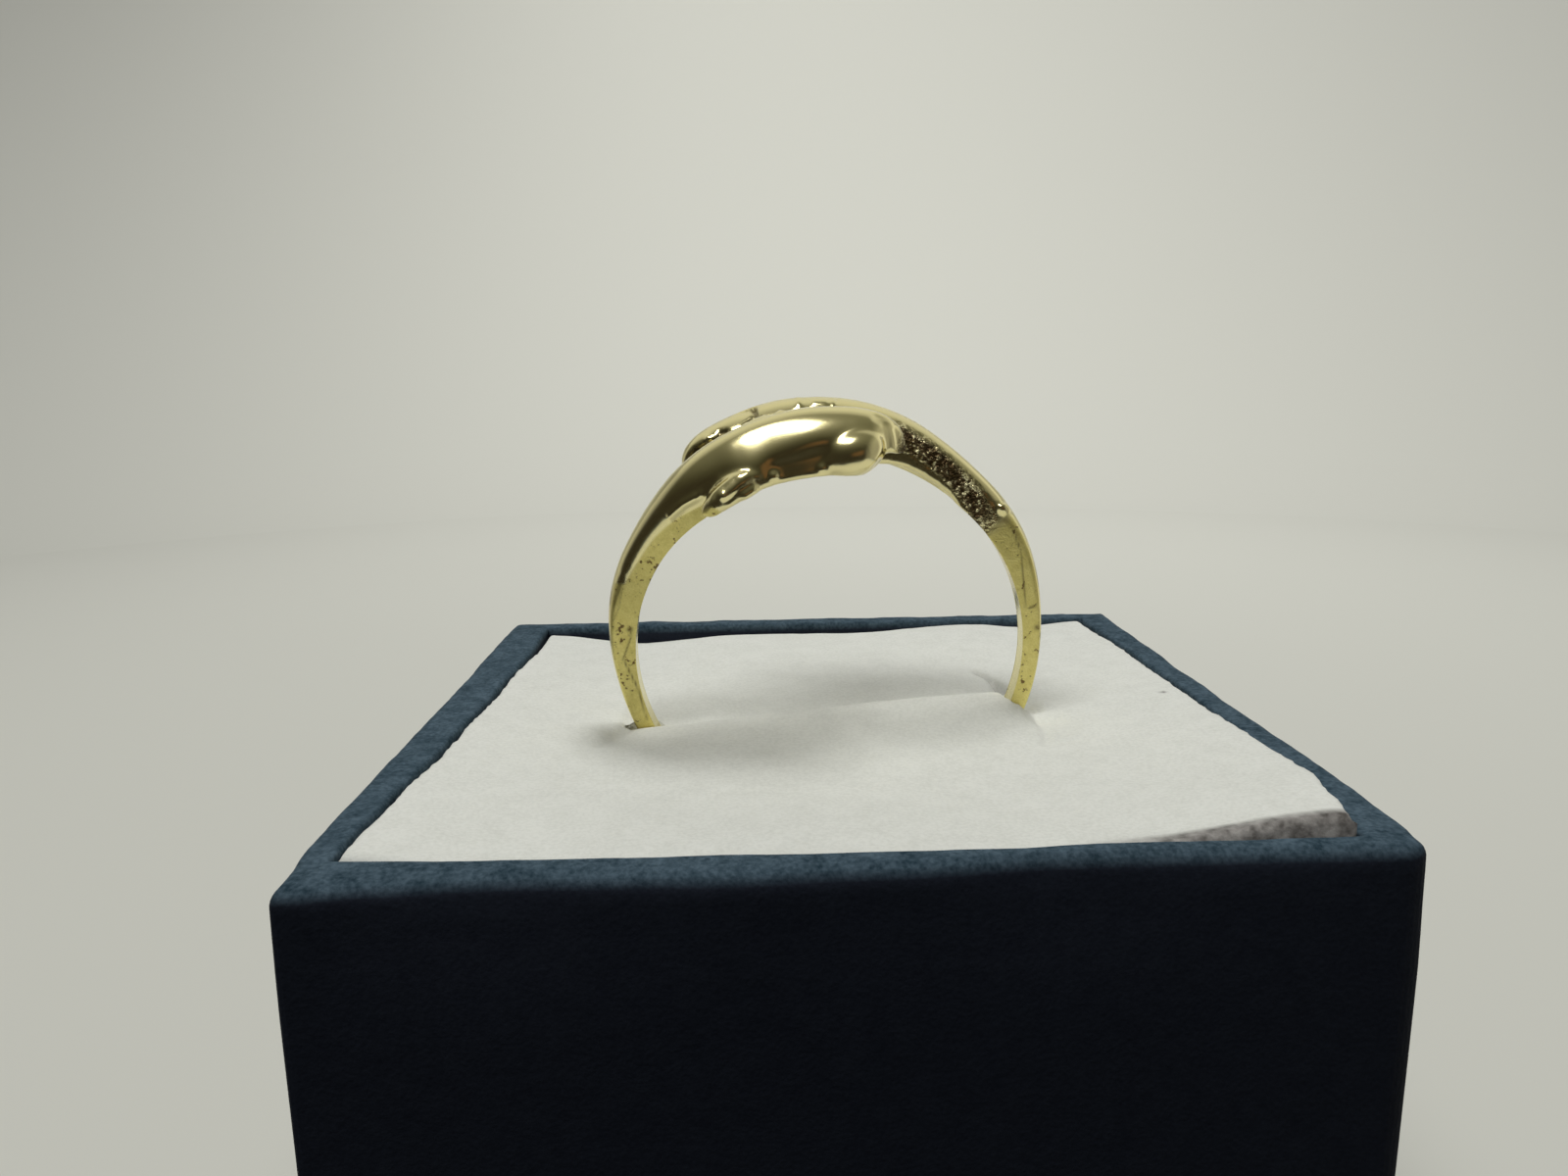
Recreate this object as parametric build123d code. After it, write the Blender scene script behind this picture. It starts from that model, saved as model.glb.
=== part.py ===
from build123d import *

import os
from collections import namedtuple
from math import asin, cos, radians, sin

# A cast gold ring of two dolphins that pass each other, standing in the slit of a white foam
# insert in an open, paper-covered ring box. Lengths are millimetres, angles are degrees.
# The origin is the middle of the box's underside, +Z is up and -Y is the front of the box.

# Ring
bore_diameter = 18.0        # the finger hole
body_height = 2.70          # a dolphin's crest above the bore
body_width = 3.10           # a dolphin's back, measured from the ring's mid-plane
band_thickness = 0.88       # radial, at the bottom of the ring
root_thickness = 1.60       # radial, where the tail becomes the band
band_width = 1.00           # axial, at the bottom of the ring
root_width = 1.45           # axial, where the tail becomes the band
band_dome = 0.18            # rise of the band's outer face between its edges
fin_reach = 0.42            # how far the dorsal fin stands out of the back
eye_radius = 0.30
mouth_radius = 0.10
fluke_span = 2.00
fluke_length = 1.50
fluke_thickness = 0.45
fluke_sunk = 0.44           # its middle below the face of the tail's root
flipper_length = 2.60
flipper_width = 1.00
flipper_thickness = 0.36

# How the ring stands in the box
ring_centre_height = 2.62   # above the rim of the box
ring_centre_back = -0.40    # from the middle of the box, towards the back
ring_centre_side = -0.12
ring_lean = 7.5             # its top leans to the front
ring_yaw = 1.0
ring_turn = -9.0            # turned in the slit, so that its top lies to the left

# Box and foam
box_width = 37.2
box_depth = 35.75
box_height = 28.0
wall_thickness = 1.5
floor_thickness = 1.6
rim_radius = 0.55
corner_radius = 0.4
foam_drop = 0.7             # the foam's top below the rim
foam_gap = 0.12             # between the foam and the box
foam_edge_radius = 0.4
slit_gap = 0.15             # between the ring and the foam

bore_radius = bore_diameter / 2
foam_top = box_height - foam_drop
bore_allowance = 0.30       # metal left inside the bore until it is cut round

# One arm of the ring, from a dolphin's snout along its body and tail to the bottom of the band.
# angle: from the ring's top. The others are shares, of body_width for back and belly, and of
# body_height for the rest.
# crest: top of the dome above the bore. back: the side that faces out along the finger.
# belly: the side that faces the other dolphin, positive past the mid-plane.
# flank: height of the belly side. skirt: height of the upright strip under the back.
# lift, undercut: how far the underside clears the bore under the back and under the belly.
ArmRow = namedtuple("ArmRow", "angle crest back belly flank skirt lift undercut")
dolphin_rows = (
    ArmRow(26.0, 0.560, 0.57, -0.44, 0.535, 0.015, 0.500, 0.500),
    ArmRow(24.6, 0.710, 0.64, -0.37, 0.590, 0.040, 0.420, 0.420),
    ArmRow(22.6, 0.830, 0.75, -0.27, 0.560, 0.070, 0.320, 0.300),
    ArmRow(19.5, 0.925, 0.90, -0.14, 0.490, 0.100, 0.210, 0.160),
    ArmRow(15.0, 0.975, 0.97, -0.03, 0.440, 0.110, 0.120, 0.060),
    ArmRow(9.0, 0.995, 1.00, 0.02, 0.430, 0.120, 0.050, 0.000),
    ArmRow(2.0, 1.000, 1.00, 0.03, 0.430, 0.130, 0.000, 0.000),
    ArmRow(-8.0, 0.965, 0.98, 0.04, 0.440, 0.140, 0.000, 0.000),
    ArmRow(-18.0, 0.920, 0.90, 0.06, 0.450, 0.150, 0.000, 0.050),
    ArmRow(-28.0, 0.845, 0.74, 0.09, 0.450, 0.180, 0.000, 0.130),
    ArmRow(-38.0, 0.735, 0.53, 0.13, 0.440, 0.220, 0.000, 0.120),
    ArmRow(-47.0, 0.655, 0.34, 0.19, 0.430, 0.270, 0.000, 0.060),
)
# The plain band past the tail. growth: share of what the tail's root is thicker and wider than
# the bottom.
BandRow = namedtuple("BandRow", "angle growth")
band_rows = (
    BandRow(-56.0, 1.00),
    BandRow(-65.0, 0.80),
    BandRow(-75.0, 0.52),
    BandRow(-86.0, 0.20),
    BandRow(-98.0, 0.03),
    BandRow(-111.0, 0.00),
    BandRow(-125.0, 0.00),
    BandRow(-143.0, 0.00),
    BandRow(-161.0, 0.00),
    BandRow(-180.0, 0.00),
)

# The dorsal fin, swept back along the outer side. reach is a share of fin_reach, low and high
# are shares of body_height.
FinRow = namedtuple("FinRow", "angle reach low high")
fin_rows = (
    FinRow(-24.5, -0.10, 0.12, 0.30),
    FinRow(-21.5, 0.75, 0.05, 0.47),
    FinRow(-17.5, 1.00, 0.03, 0.52),
    FinRow(-12.5, 0.70, 0.04, 0.45),
    FinRow(-7.0, -0.30, 0.07, 0.33),
)
fin_root = 1.20             # how deep the fin's root sits in the body

# Where the small features of a dolphin lie, by angle from the ring's top.
eye_angle = 9.3
eye_side = 0.75             # from the crest, towards the belly
mouth_angles = (25.7, 23.9, 21.6)
mouth_side = 0.15           # from the crest, towards the belly
flipper_angle = -4.5
flipper_side = 0.85         # from the crest, towards the belly
fluke_angle = -57.0

# The lip that the ring pushes up in the foam, in front of the slit. side: share of the bore's
# radius. height: share of lip_height.
LipRow = namedtuple("LipRow", "side height")
lip_height = 0.75
lip_depth = 5.5
lip_rows = (
    LipRow(-1.06, 0.06),
    LipRow(-0.80, 0.70),
    LipRow(-0.30, 0.95),
    LipRow(0.20, 1.00),
    LipRow(0.78, 0.85),
    LipRow(1.04, 0.06),
)


def station(angle):
    """Plane square to the ring at an angle from its top: x along the finger, y outwards."""
    turn = radians(angle)
    return Plane(origin=(0, 0, 0), x_dir=(0, 1, 0), z_dir=(cos(turn), 0, -sin(turn)))


def domed_section(angle, back, belly, low_back, low_belly, high_back, high_belly, crest):
    """Face with a straight underside and sides, under one arc over the crest."""
    sides = Polyline((-back, high_back), (-back, low_back), (belly, low_belly), (belly, high_belly))
    dome = ThreePointArc((belly, high_belly), ((belly - back) / 2, crest), (-back, high_back))
    return station(angle) * make_face(sides + dome)


def underside(lift):
    """Height of the underside: inside the bore where it's still to be cut, or lifted clear."""
    return bore_radius + lift * body_height if lift else bore_radius - bore_allowance


def dolphin_section(row):
    return domed_section(
        row.angle,
        back=row.back * body_width,
        belly=row.belly * body_width,
        low_back=underside(row.lift),
        low_belly=underside(row.undercut),
        high_back=bore_radius + (row.lift + row.skirt) * body_height,
        high_belly=bore_radius + row.flank * body_height,
        crest=bore_radius + row.crest * body_height)


def band_section(row):
    thickness = band_thickness + row.growth * (root_thickness - band_thickness)
    half = (band_width + row.growth * (root_width - band_width)) / 2
    shoulder = bore_radius + thickness - band_dome
    return domed_section(
        row.angle, back=half, belly=half, low_back=underside(0), low_belly=underside(0),
        high_back=shoulder, high_belly=shoulder, crest=bore_radius + thickness)


def fin_section(row):
    back = body_width + row.reach * fin_reach
    root = fin_root - body_width
    low = bore_radius + row.low * body_height
    high = bore_radius + row.high * body_height
    edge = ThreePointArc((root, low), (-back, (low + high) / 2), (root, high))
    return station(row.angle) * make_face(Line((root, high), (root, low)) + edge)


def body_at(angle):
    """The dolphin's row at any angle, worked out between the rows of its table."""
    for ahead, behind in zip(dolphin_rows, dolphin_rows[1:]):
        if behind.angle <= angle <= ahead.angle:
            share = (angle - behind.angle) / (ahead.angle - behind.angle)
            return ArmRow(*(share * a + (1 - share) * b for a, b in zip(ahead, behind)))
    raise ValueError("angle outside the dolphin")


def flank_plane(angle, side):
    """Plane that lies on the flank, at a distance from the crest towards the belly.

    Its x runs along the finger and its y towards the tail.
    """
    row = body_at(angle)
    half = (row.belly + row.back) / 2 * body_width
    rise = (row.crest - row.flank) * body_height
    dome_radius = (half * half + rise * rise) / (2 * rise)
    tilt = asin(side / dome_radius)
    radius = bore_radius + row.crest * body_height - dome_radius * (1 - cos(tilt))
    turn = radians(angle)
    origin = (radius * sin(turn), (row.belly - row.back) / 2 * body_width + side, radius * cos(turn))
    outward = (sin(turn) * cos(tilt), sin(tilt), cos(turn) * cos(tilt))
    along = (-sin(turn) * sin(tilt), cos(tilt), -cos(turn) * sin(tilt))
    return Plane(origin=origin, x_dir=along, z_dir=outward)


def eye():
    return flank_plane(eye_angle, eye_side).offset(-eye_radius / 2) * Sphere(eye_radius)


def mouth():
    """Groove along the side of the snout."""
    path = ThreePointArc(*(flank_plane(angle, mouth_side).origin for angle in mouth_angles))
    return sweep(Plane(origin=path @ 0, z_dir=path % 0) * Circle(mouth_radius), path=path)


def flipper():
    """Leaf-shaped side fin, folded back along the flank."""
    root = (0, -flipper_length / 2)
    tip = (flipper_width / 4, flipper_length / 2)
    leaf = ThreePointArc(root, (flipper_width / 2, 0), tip)
    leaf += ThreePointArc(tip, (-flipper_width / 2, -flipper_length / 8), root)
    plane = flank_plane(flipper_angle, flipper_side)
    return extrude(plane * make_face(leaf), flipper_thickness / 2, both=True)


def flukes():
    """Two tail lobes that lie across the root of the band."""
    turn = radians(fluke_angle)
    radius = bore_radius + root_thickness - fluke_sunk
    plane = Plane(origin=(radius * sin(turn), 0, radius * cos(turn)), x_dir=(0, 1, 0),
                  z_dir=(sin(turn), 0, cos(turn)))
    half = fluke_span / 2
    stock = (0, -fluke_length / 2)
    notch = (0, fluke_length / 4)
    outline = ThreePointArc(stock, (half * 0.62, -fluke_length * 0.08), (half, fluke_length / 2))
    outline += ThreePointArc((half, fluke_length / 2), (half / 2, fluke_length * 0.26), notch)
    lobe = make_face(outline + Line(notch, stock))
    return extrude(plane * (lobe + mirror(lobe, about=Plane.YZ)), fluke_thickness / 2, both=True)


def ring_arm():
    sections = [dolphin_section(row) for row in dolphin_rows]
    sections += [band_section(row) for row in band_rows]
    fin = loft([fin_section(row) for row in fin_rows])
    return loft(sections) - mouth() + fin + eye() + flipper() + flukes()


def dolphin_ring():
    """Two arms, each the other turned half round the ring's top, with the bore cut round."""
    one = ring_arm()
    both = one + Rotation(0, 0, 180) * one
    return both - Rotation(90, 0, 0) * Cylinder(bore_radius, 4 * body_width)


def ring_place():
    """Where the ring stands: turned about the finger's line, leant and yawed."""
    centre = (ring_centre_side, ring_centre_back, box_height + ring_centre_height)
    stand = Location(centre) * Rotation(0, 0, ring_yaw) * Rotation(ring_lean, 0, 0)
    return stand * Rotation(0, ring_turn, 0)


def foam_lip():
    """Low mound from the slit's front edge forwards, tapering to both ends."""
    sections = []
    for row in lip_rows:
        top = foam_top + row.height * lip_height
        low = foam_top - lip_height
        back = ring_centre_back
        front = back - lip_depth
        sides = Polyline((back, top), (back, low), (front, low), (front, foam_top))
        bulge = ((back + front) / 2, foam_top + 0.75 * row.height * lip_height)
        profile = make_face(sides + ThreePointArc((front, foam_top), bulge, (back, top)))
        place = Plane(origin=(row.side * bore_radius, 0, 0), x_dir=(0, 1, 0), z_dir=(1, 0, 0))
        sections.append(place * profile)
    return loft(sections)


def foam_insert():
    length = box_width - 2 * (wall_thickness + foam_gap)
    depth = box_depth - 2 * (wall_thickness + foam_gap)
    bottom = floor_thickness + foam_gap
    block = Pos(0, 0, (foam_top + bottom) / 2) * Box(length, depth, foam_top - bottom)
    block = fillet(block.edges().group_by(Axis.Z)[-1], foam_edge_radius)
    block += foam_lip()
    slit_radius = bore_radius + band_thickness + slit_gap
    slit = Rotation(90, 0, 0) * Cylinder(slit_radius, band_width + 2 * slit_gap)
    return block - ring_place() * slit


def box_tray():
    outer = Pos(0, 0, box_height / 2) * Box(box_width, box_depth, box_height)
    outer = fillet(outer.edges().filter_by(Axis.Z), corner_radius)
    inside = Pos(0, 0, (box_height + floor_thickness) / 2) * Box(
        box_width - 2 * wall_thickness, box_depth - 2 * wall_thickness, box_height - floor_thickness)
    tray = outer - inside
    return fillet(tray.edges().group_by(Axis.Z)[-1], rim_radius)


parts = {
    "dolphin_ring": ring_place() * dolphin_ring(),
    "foam_insert": foam_insert(),
    "box_tray": box_tray(),
}
os.makedirs("parts", exist_ok=True)
for name, shape in parts.items():
    export_step(shape, f"parts/{name}.step")
    print(name, len(shape.solids()), round(shape.volume, 2), shape.is_valid)
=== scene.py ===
from math import atan2, cos, hypot, pi, radians, sin, sqrt

import bmesh
import bpy
import numpy as np
from mathutils import Matrix, Vector, noise


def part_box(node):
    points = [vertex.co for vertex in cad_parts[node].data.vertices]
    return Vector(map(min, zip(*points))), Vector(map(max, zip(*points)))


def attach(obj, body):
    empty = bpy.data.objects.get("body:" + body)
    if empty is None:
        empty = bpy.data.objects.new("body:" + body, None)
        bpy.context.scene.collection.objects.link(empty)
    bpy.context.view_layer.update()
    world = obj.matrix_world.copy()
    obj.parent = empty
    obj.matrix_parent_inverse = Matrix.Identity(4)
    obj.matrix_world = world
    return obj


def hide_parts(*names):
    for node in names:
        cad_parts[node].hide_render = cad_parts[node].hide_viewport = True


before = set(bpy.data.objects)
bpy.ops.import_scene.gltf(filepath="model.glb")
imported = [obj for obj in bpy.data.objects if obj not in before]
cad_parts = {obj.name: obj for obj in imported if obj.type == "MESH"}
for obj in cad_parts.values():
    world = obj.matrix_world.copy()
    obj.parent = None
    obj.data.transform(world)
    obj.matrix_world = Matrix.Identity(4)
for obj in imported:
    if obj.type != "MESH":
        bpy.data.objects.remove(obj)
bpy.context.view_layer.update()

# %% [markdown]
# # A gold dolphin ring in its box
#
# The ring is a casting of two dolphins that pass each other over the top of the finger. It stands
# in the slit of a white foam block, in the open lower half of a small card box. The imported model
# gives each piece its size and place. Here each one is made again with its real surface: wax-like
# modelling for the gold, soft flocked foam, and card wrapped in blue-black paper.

MM = 0.001
rim_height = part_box("box_tray")[1].z


def rotate(degrees, axis):
    return Matrix.Rotation(radians(degrees), 4, axis)


# %% [markdown]
# ## Where the ring stands
#
# A jeweller thinks of a ring as a round mandrel: a place on it is an angle from the top, a height
# above the finger hole, and a distance along the finger. Every form below is given that way. One
# matrix then stands the finished ring in the slit, leant to the front and turned a little.

# %% The ring's own frame
BORE = 9.0 * MM
RING_YAW, RING_LEAN, RING_ROLL = 1.0, 7.5, -9.0     # degrees
ring_centre = Vector((-0.12 * MM, -0.40 * MM, rim_height + 2.62 * MM))
ring_stand = (Matrix.Translation(ring_centre) @ rotate(RING_YAW, "Z") @ rotate(RING_LEAN, "X")
              @ rotate(RING_ROLL, "Y"))
print("the ring's middle stands", round((ring_centre.z - rim_height) / MM, 2), "mm over the rim")


def on_ring(angle, along, height):
    """Point at an angle from the top, a distance along the finger, a height above the hole."""
    turn = radians(angle)
    radius = BORE + height * MM
    return Vector((radius * sin(turn), along * MM, radius * cos(turn)))


# %% [markdown]
# ## The wax rod
#
# The real ring began as wax, bent round a mandrel and carved. So does this one. A circle of
# points is spun round the finger to make a rod, fine along the dolphin and coarser along the
# plain band. Then every loop of the rod is carved to its own section, from a table whose rows are
# joined by smooth curves. A loft of hand-placed faces would do too, but a rod keeps its rows of
# faces even, and even faces give clean reflections.

# %% The sections of one dolphin
# angle from the top, then millimetres: crest, back and belly sides, top edges of the back and
# belly sides, underside at back and belly, and how crisp the corners are.
dolphin_rows = (
    (27.5, 1.50, 1.70, -1.00, 1.10, 1.40, 1.02, 1.02, 4),
    (26.0, 1.62, 1.78, -0.95, 1.10, 1.50, 1.00, 1.00, 4),
    (24.6, 1.96, 1.95, -0.80, 1.05, 1.62, 0.98, 0.98, 4),
    (22.6, 2.27, 2.18, -0.62, 1.10, 1.60, 0.98, 0.98, 5),
    (19.5, 2.51, 2.52, -0.38, 0.95, 1.40, 0.74, 0.70, 6),
    (15.0, 2.64, 2.80, -0.08, 0.70, 1.25, 0.26, 0.26, 8),
    (9.0, 2.69, 2.96, 0.06, 0.50, 1.18, -0.06, -0.10, 9),
    (2.0, 2.70, 3.02, 0.09, 0.45, 1.18, -0.10, -0.40, 10),
    (-7.0, 2.62, 3.08, 0.12, 0.45, 1.20, -0.05, -0.40, 9),
    (-13.0, 2.55, 3.20, 0.16, 0.47, 1.21, -0.05, -0.20, 8),
    (-19.0, 2.46, 2.78, 0.20, 0.48, 1.22, -0.30, -0.10, 8),
    (-28.0, 2.24, 2.28, 0.28, 0.56, 1.20, -0.90, 0.22, 10),
    (-38.0, 1.92, 1.64, 0.40, 0.74, 1.15, -0.90, 0.20, 12),
    (-47.0, 1.71, 1.10, 0.56, 0.88, 1.12, -0.90, 0.00, 14),
    (-56.0, 1.61, 0.80, 0.72, 1.02, 1.14, -0.90, -0.80, 16),
    (-67.0, 1.45, 0.66, 0.66, 1.20, 1.20, -0.90, -0.90, 18),
    (-78.0, 1.21, 0.58, 0.58, 1.02, 1.02, -0.90, -0.90, 18),
    (-88.0, 1.02, 0.54, 0.54, 0.84, 0.84, -0.90, -0.90, 18),
    (-100.0, 0.92, 0.51, 0.51, 0.75, 0.75, -0.90, -0.90, 18),
    (-130.0, 0.91, 0.51, 0.51, 0.74, 0.74, -0.90, -0.90, 18),
    (-183.0, 0.91, 0.51, 0.51, 0.74, 0.74, -0.90, -0.90, 18),
)
NOSE, FINE_END, ROD_END = 26.7, -60.0, -181.0
NOSE_ROUND = 1.9            # degrees over which the nose closes
print(len(dolphin_rows), "sections from", dolphin_rows[0][0], "to", dolphin_rows[-1][0], "degrees")


# %% Read the table at any angle
def section_at(angle, rows=dolphin_rows):
    """The row at any angle, on a cubic curve through its neighbours."""
    places = [row[0] for row in rows]
    last = len(rows) - 2
    k = min(max(sum(place > angle for place in places) - 1, 0), last)
    p0, p1, p2, p3 = (np.array(rows[min(max(k + i, 0), last + 1)]) for i in (-1, 0, 1, 2))
    span = p2[0] - p1[0]
    t = min(max((angle - p1[0]) / span, 0.0), 1.0)
    slope1 = (p2 - p0) / (p2[0] - p0[0]) * span if k > 0 else p2 - p1
    slope2 = (p3 - p1) / (p3[0] - p1[0]) * span if k < last else p2 - p1
    return ((2 * t**3 - 3 * t**2 + 1) * p1 + (t**3 - 2 * t**2 + t) * slope1
            + (3 * t**2 - 2 * t**3) * p2 + (t**3 - t**2) * slope2)


def step_up(values, low, high):
    t = np.clip((values - low) / (high - low), 0, 1)
    return t * t * (3 - 2 * t)


# %% The outline of a section
def circle_through(a, b, c):
    """Centre and radius of the circle through three points of a plane."""
    (ax, ay), (bx, by), (cx, cy) = a, b, c
    d = 2 * (ax * (by - cy) + bx * (cy - ay) + cx * (ay - by))
    sa, sb, sc = ax * ax + ay * ay, bx * bx + by * by, cx * cx + cy * cy
    ux = (sa * (by - cy) + sb * (cy - ay) + sc * (ay - by)) / d
    uy = (sa * (cx - bx) + sb * (ax - cx) + sc * (bx - ax)) / d
    return ux, uy, sqrt((ax - ux)**2 + (ay - uy)**2)


# The long facet of the flank: which way it faces, and how near it comes to the section's middle
# at places round the ring, as a share of the section's radius.
FACET_UP, FACET_OUT = sin(radians(38)), cos(radians(38))
facet_angles = (-34, -20, -13, -6, 5, 12, 20)
facet_shares = (1.1, 0.92, 0.84, 0.85, 0.93, 0.97, 1.1)


def section_point(row, turn):
    """Where the ray at a turn meets the section: along the finger and above the hole."""
    angle, crest, back, belly, high_back, high_belly, low_back, low_belly, crisp = row
    along, up = cos(turn), sin(turn)
    middle = (belly - back) / 2
    centre_height = crest * 0.42 + max(low_back, low_belly, 0) * 0.58
    ox, oy, radius = circle_through((-back, high_back), (middle, crest), (belly, high_belly))
    dx, dy = middle - ox, centre_height - oy
    half = dx * along + dy * up
    # How far the ray reaches to each bound of the section. The nearest bound counts most, and the
    # corners between two bounds come out soft or crisp.
    reaches = [-half + sqrt(max(half * half - dx * dx - dy * dy + radius * radius, 1e-9))]
    if centre_height + reaches[0] * up < oy and abs(along) > 1e-3:
        reaches[0] = (radius + (ox - middle) * (1 if along > 0 else -1)) / abs(along)
    facing = up * FACET_UP - along * FACET_OUT
    if facing > 1e-2:
        share = np.interp(angle, facet_angles, facet_shares)
        reaches.append((radius * share - dx * -FACET_OUT - dy * FACET_UP) / facing)
    if abs(along) > 1e-3:
        reaches.append((belly - middle) / abs(along))
    if up < -1e-3:
        reaches.append((centre_height - (low_back if along < 0 else low_belly)) / -up)
    reach = sum(r**-crisp for r in reaches)**(-1 / crisp)
    past = (angle - NOSE + NOSE_ROUND) / NOSE_ROUND
    if past > 0:
        reach *= sqrt(max(1 - past * past, 0.0))
    return middle + reach * along, centre_height + reach * up


# %% Spin the rod and carve it
ROD_POINTS = 72
FINE_STEP, COARSE_STEP = 0.45, 1.5          # degrees from loop to loop
ROD_MIDDLE = BORE + 2 * MM
HEAD_LIFT = 0.07            # millimetres that a head rises with each degree it is longer


def carved_arm(longer):
    """One dolphin and its half of the band, with its head drawn longer by some degrees."""
    bm = bmesh.new()
    made = bmesh.ops.create_circle(bm, segments=ROD_POINTS, radius=1.0 * MM)
    upright = Matrix.Translation((0, 0, ROD_MIDDLE)) @ rotate(90, "Y")
    bmesh.ops.transform(bm, matrix=rotate(NOSE, "Y") @ upright, verts=made["verts"])
    loop = bm.edges[:] + bm.verts[:]
    for first, end, step in ((NOSE, FINE_END, FINE_STEP), (FINE_END, ROD_END, COARSE_STEP)):
        spun = bmesh.ops.spin(bm, geom=loop, axis=(0, 1, 0), cent=(0, 0, 0), use_duplicate=False,
                              angle=radians(end - first), steps=round((first - end) / step))
        loop = spun["geom_last"]
    sections = {}
    for vert in bm.verts:
        x, y, z = vert.co
        angle = round(atan2(x, z) * 180 / pi, 3)
        angle -= 360 if angle > 90 else 0
        if angle not in sections:
            sections[angle] = section_at(angle)
        along, height = section_point(sections[angle], atan2(sqrt(x * x + z * z) - ROD_MIDDLE, y))
        head = step_up(angle, 12, 26)
        vert.co = on_ring(angle + longer * head, along, height + HEAD_LIFT * longer * head)
    bmesh.ops.holes_fill(bm, edges=bm.edges, sides=0)
    bmesh.ops.recalc_face_normals(bm, faces=bm.faces)
    return bm


# %% [markdown]
# ## Lumps of wax
#
# Fins, melon, eye and flukes are lumps pressed on to the rod. Each starts as a ball, stretched
# along the ring, along the finger and outwards, and turned. They sink into the rod, so that the
# remesh below can flow them together.

# %% Press lumps on
def lump(bm, angle, along, height, radii, turn):
    """A stretched ball: radii go round the ring, along the finger and outwards, in millimetres."""
    made = bmesh.ops.create_icosphere(bm, subdivisions=4, radius=MM)
    place = Matrix.Translation(on_ring(angle, along, height)) @ rotate(angle, "Y")
    for degrees, axis in zip(turn, "XYZ"):
        place = place @ rotate(degrees, axis)
    bmesh.ops.transform(bm, matrix=place @ Matrix.Diagonal((*radii, 1)), verts=made["verts"])


# name, angle, along, height, radii, turn.
lumps = (
    ("melon", 12.6, -2.04, 0.86, (1.62, 1.26, 1.12), (0, -20, 0)),
    ("fin lobe", -17.4, -2.74, 0.44, (1.80, 0.64, 0.62), (0, -8, 6)),
    ("eye", 9.3, -0.80, 2.22, (0.24, 0.24, 0.24), (0, 0, 0)),
    ("flipper", -4.5, -0.72, 2.12, (1.15, 0.42, 0.20), (-38, 0, 6)),
    ("near fluke", -57.5, -0.46, 1.16, (0.50, 0.22, 0.24), (0, 12, -24)),
    ("far fluke", -57.6, 0.55, 1.28, (0.42, 0.26, 0.28), (0, 12, 24)),
)


def dolphin(longer):
    bm = carved_arm(longer)
    for name, angle, along, height, radii, turn in lumps:
        lump(bm, angle, along, height, radii, turn)
    return bm


# %% [markdown]
# The second dolphin is the first one turned by half, with a slightly longer head. A voxel remesh
# then melts the overlapping forms of both into one closed skin. A Boolean union would join them
# as well, but with a sharp seam round every lump.

# %% Join the two dolphins
def mesh_from(bm, name):
    mesh = bpy.data.meshes.new(name)
    bm.to_mesh(mesh)
    bm.free()
    return mesh


def new_object(name, mesh):
    piece = bpy.data.objects.new(name, mesh)
    bpy.context.scene.collection.objects.link(piece)
    return piece


def with_modifiers_applied(piece):
    """The piece again, as the plain mesh that its modifiers give."""
    bpy.context.view_layer.update()
    evaluated = piece.evaluated_get(bpy.context.evaluated_depsgraph_get())
    finished = bpy.data.meshes.new_from_object(evaluated)
    piece.modifiers.clear()
    piece.data = finished
    return piece


VOXEL = 0.080 * MM
both = bmesh.new()
for half_turn, longer in ((0, 0.0), (180, 3.0)):
    one = mesh_from(dolphin(longer), "arm")
    one.transform(rotate(half_turn, "Z"))
    both.from_mesh(one)
ring = new_object("gold_ring", mesh_from(both, "gold_ring"))
remesh = ring.modifiers.new("fuse", "REMESH")
remesh.mode = "VOXEL"
remesh.voxel_size = VOXEL
remesh.use_smooth_shade = True
with_modifiers_applied(ring)
print("fused ring:", len(ring.data.polygons), "faces")

# %% [markdown]
# ## Chasing
#
# The remesh leaves soft wax. The sharper details are chased into it: each stroke follows a path
# round the ring and lifts or cuts the metal beside it. Both dolphins get the same strokes. The
# strokes that cut deep also darken the metal; tables of edges give where it is brushed flat or
# left as cast.

# %% Smooth the wax
def smooth_wax(bm, times):
    for _ in range(times):
        bmesh.ops.smooth_vert(bm, verts=bm.verts, factor=0.5, use_axis_x=True, use_axis_y=True,
                              use_axis_z=True)


bm = bmesh.new()
bm.from_mesh(ring.data)
smooth_wax(bm, 5)
bm.to_mesh(ring.data)
bm.free()
print("smoothed:", len(ring.data.vertices), "points")

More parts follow.
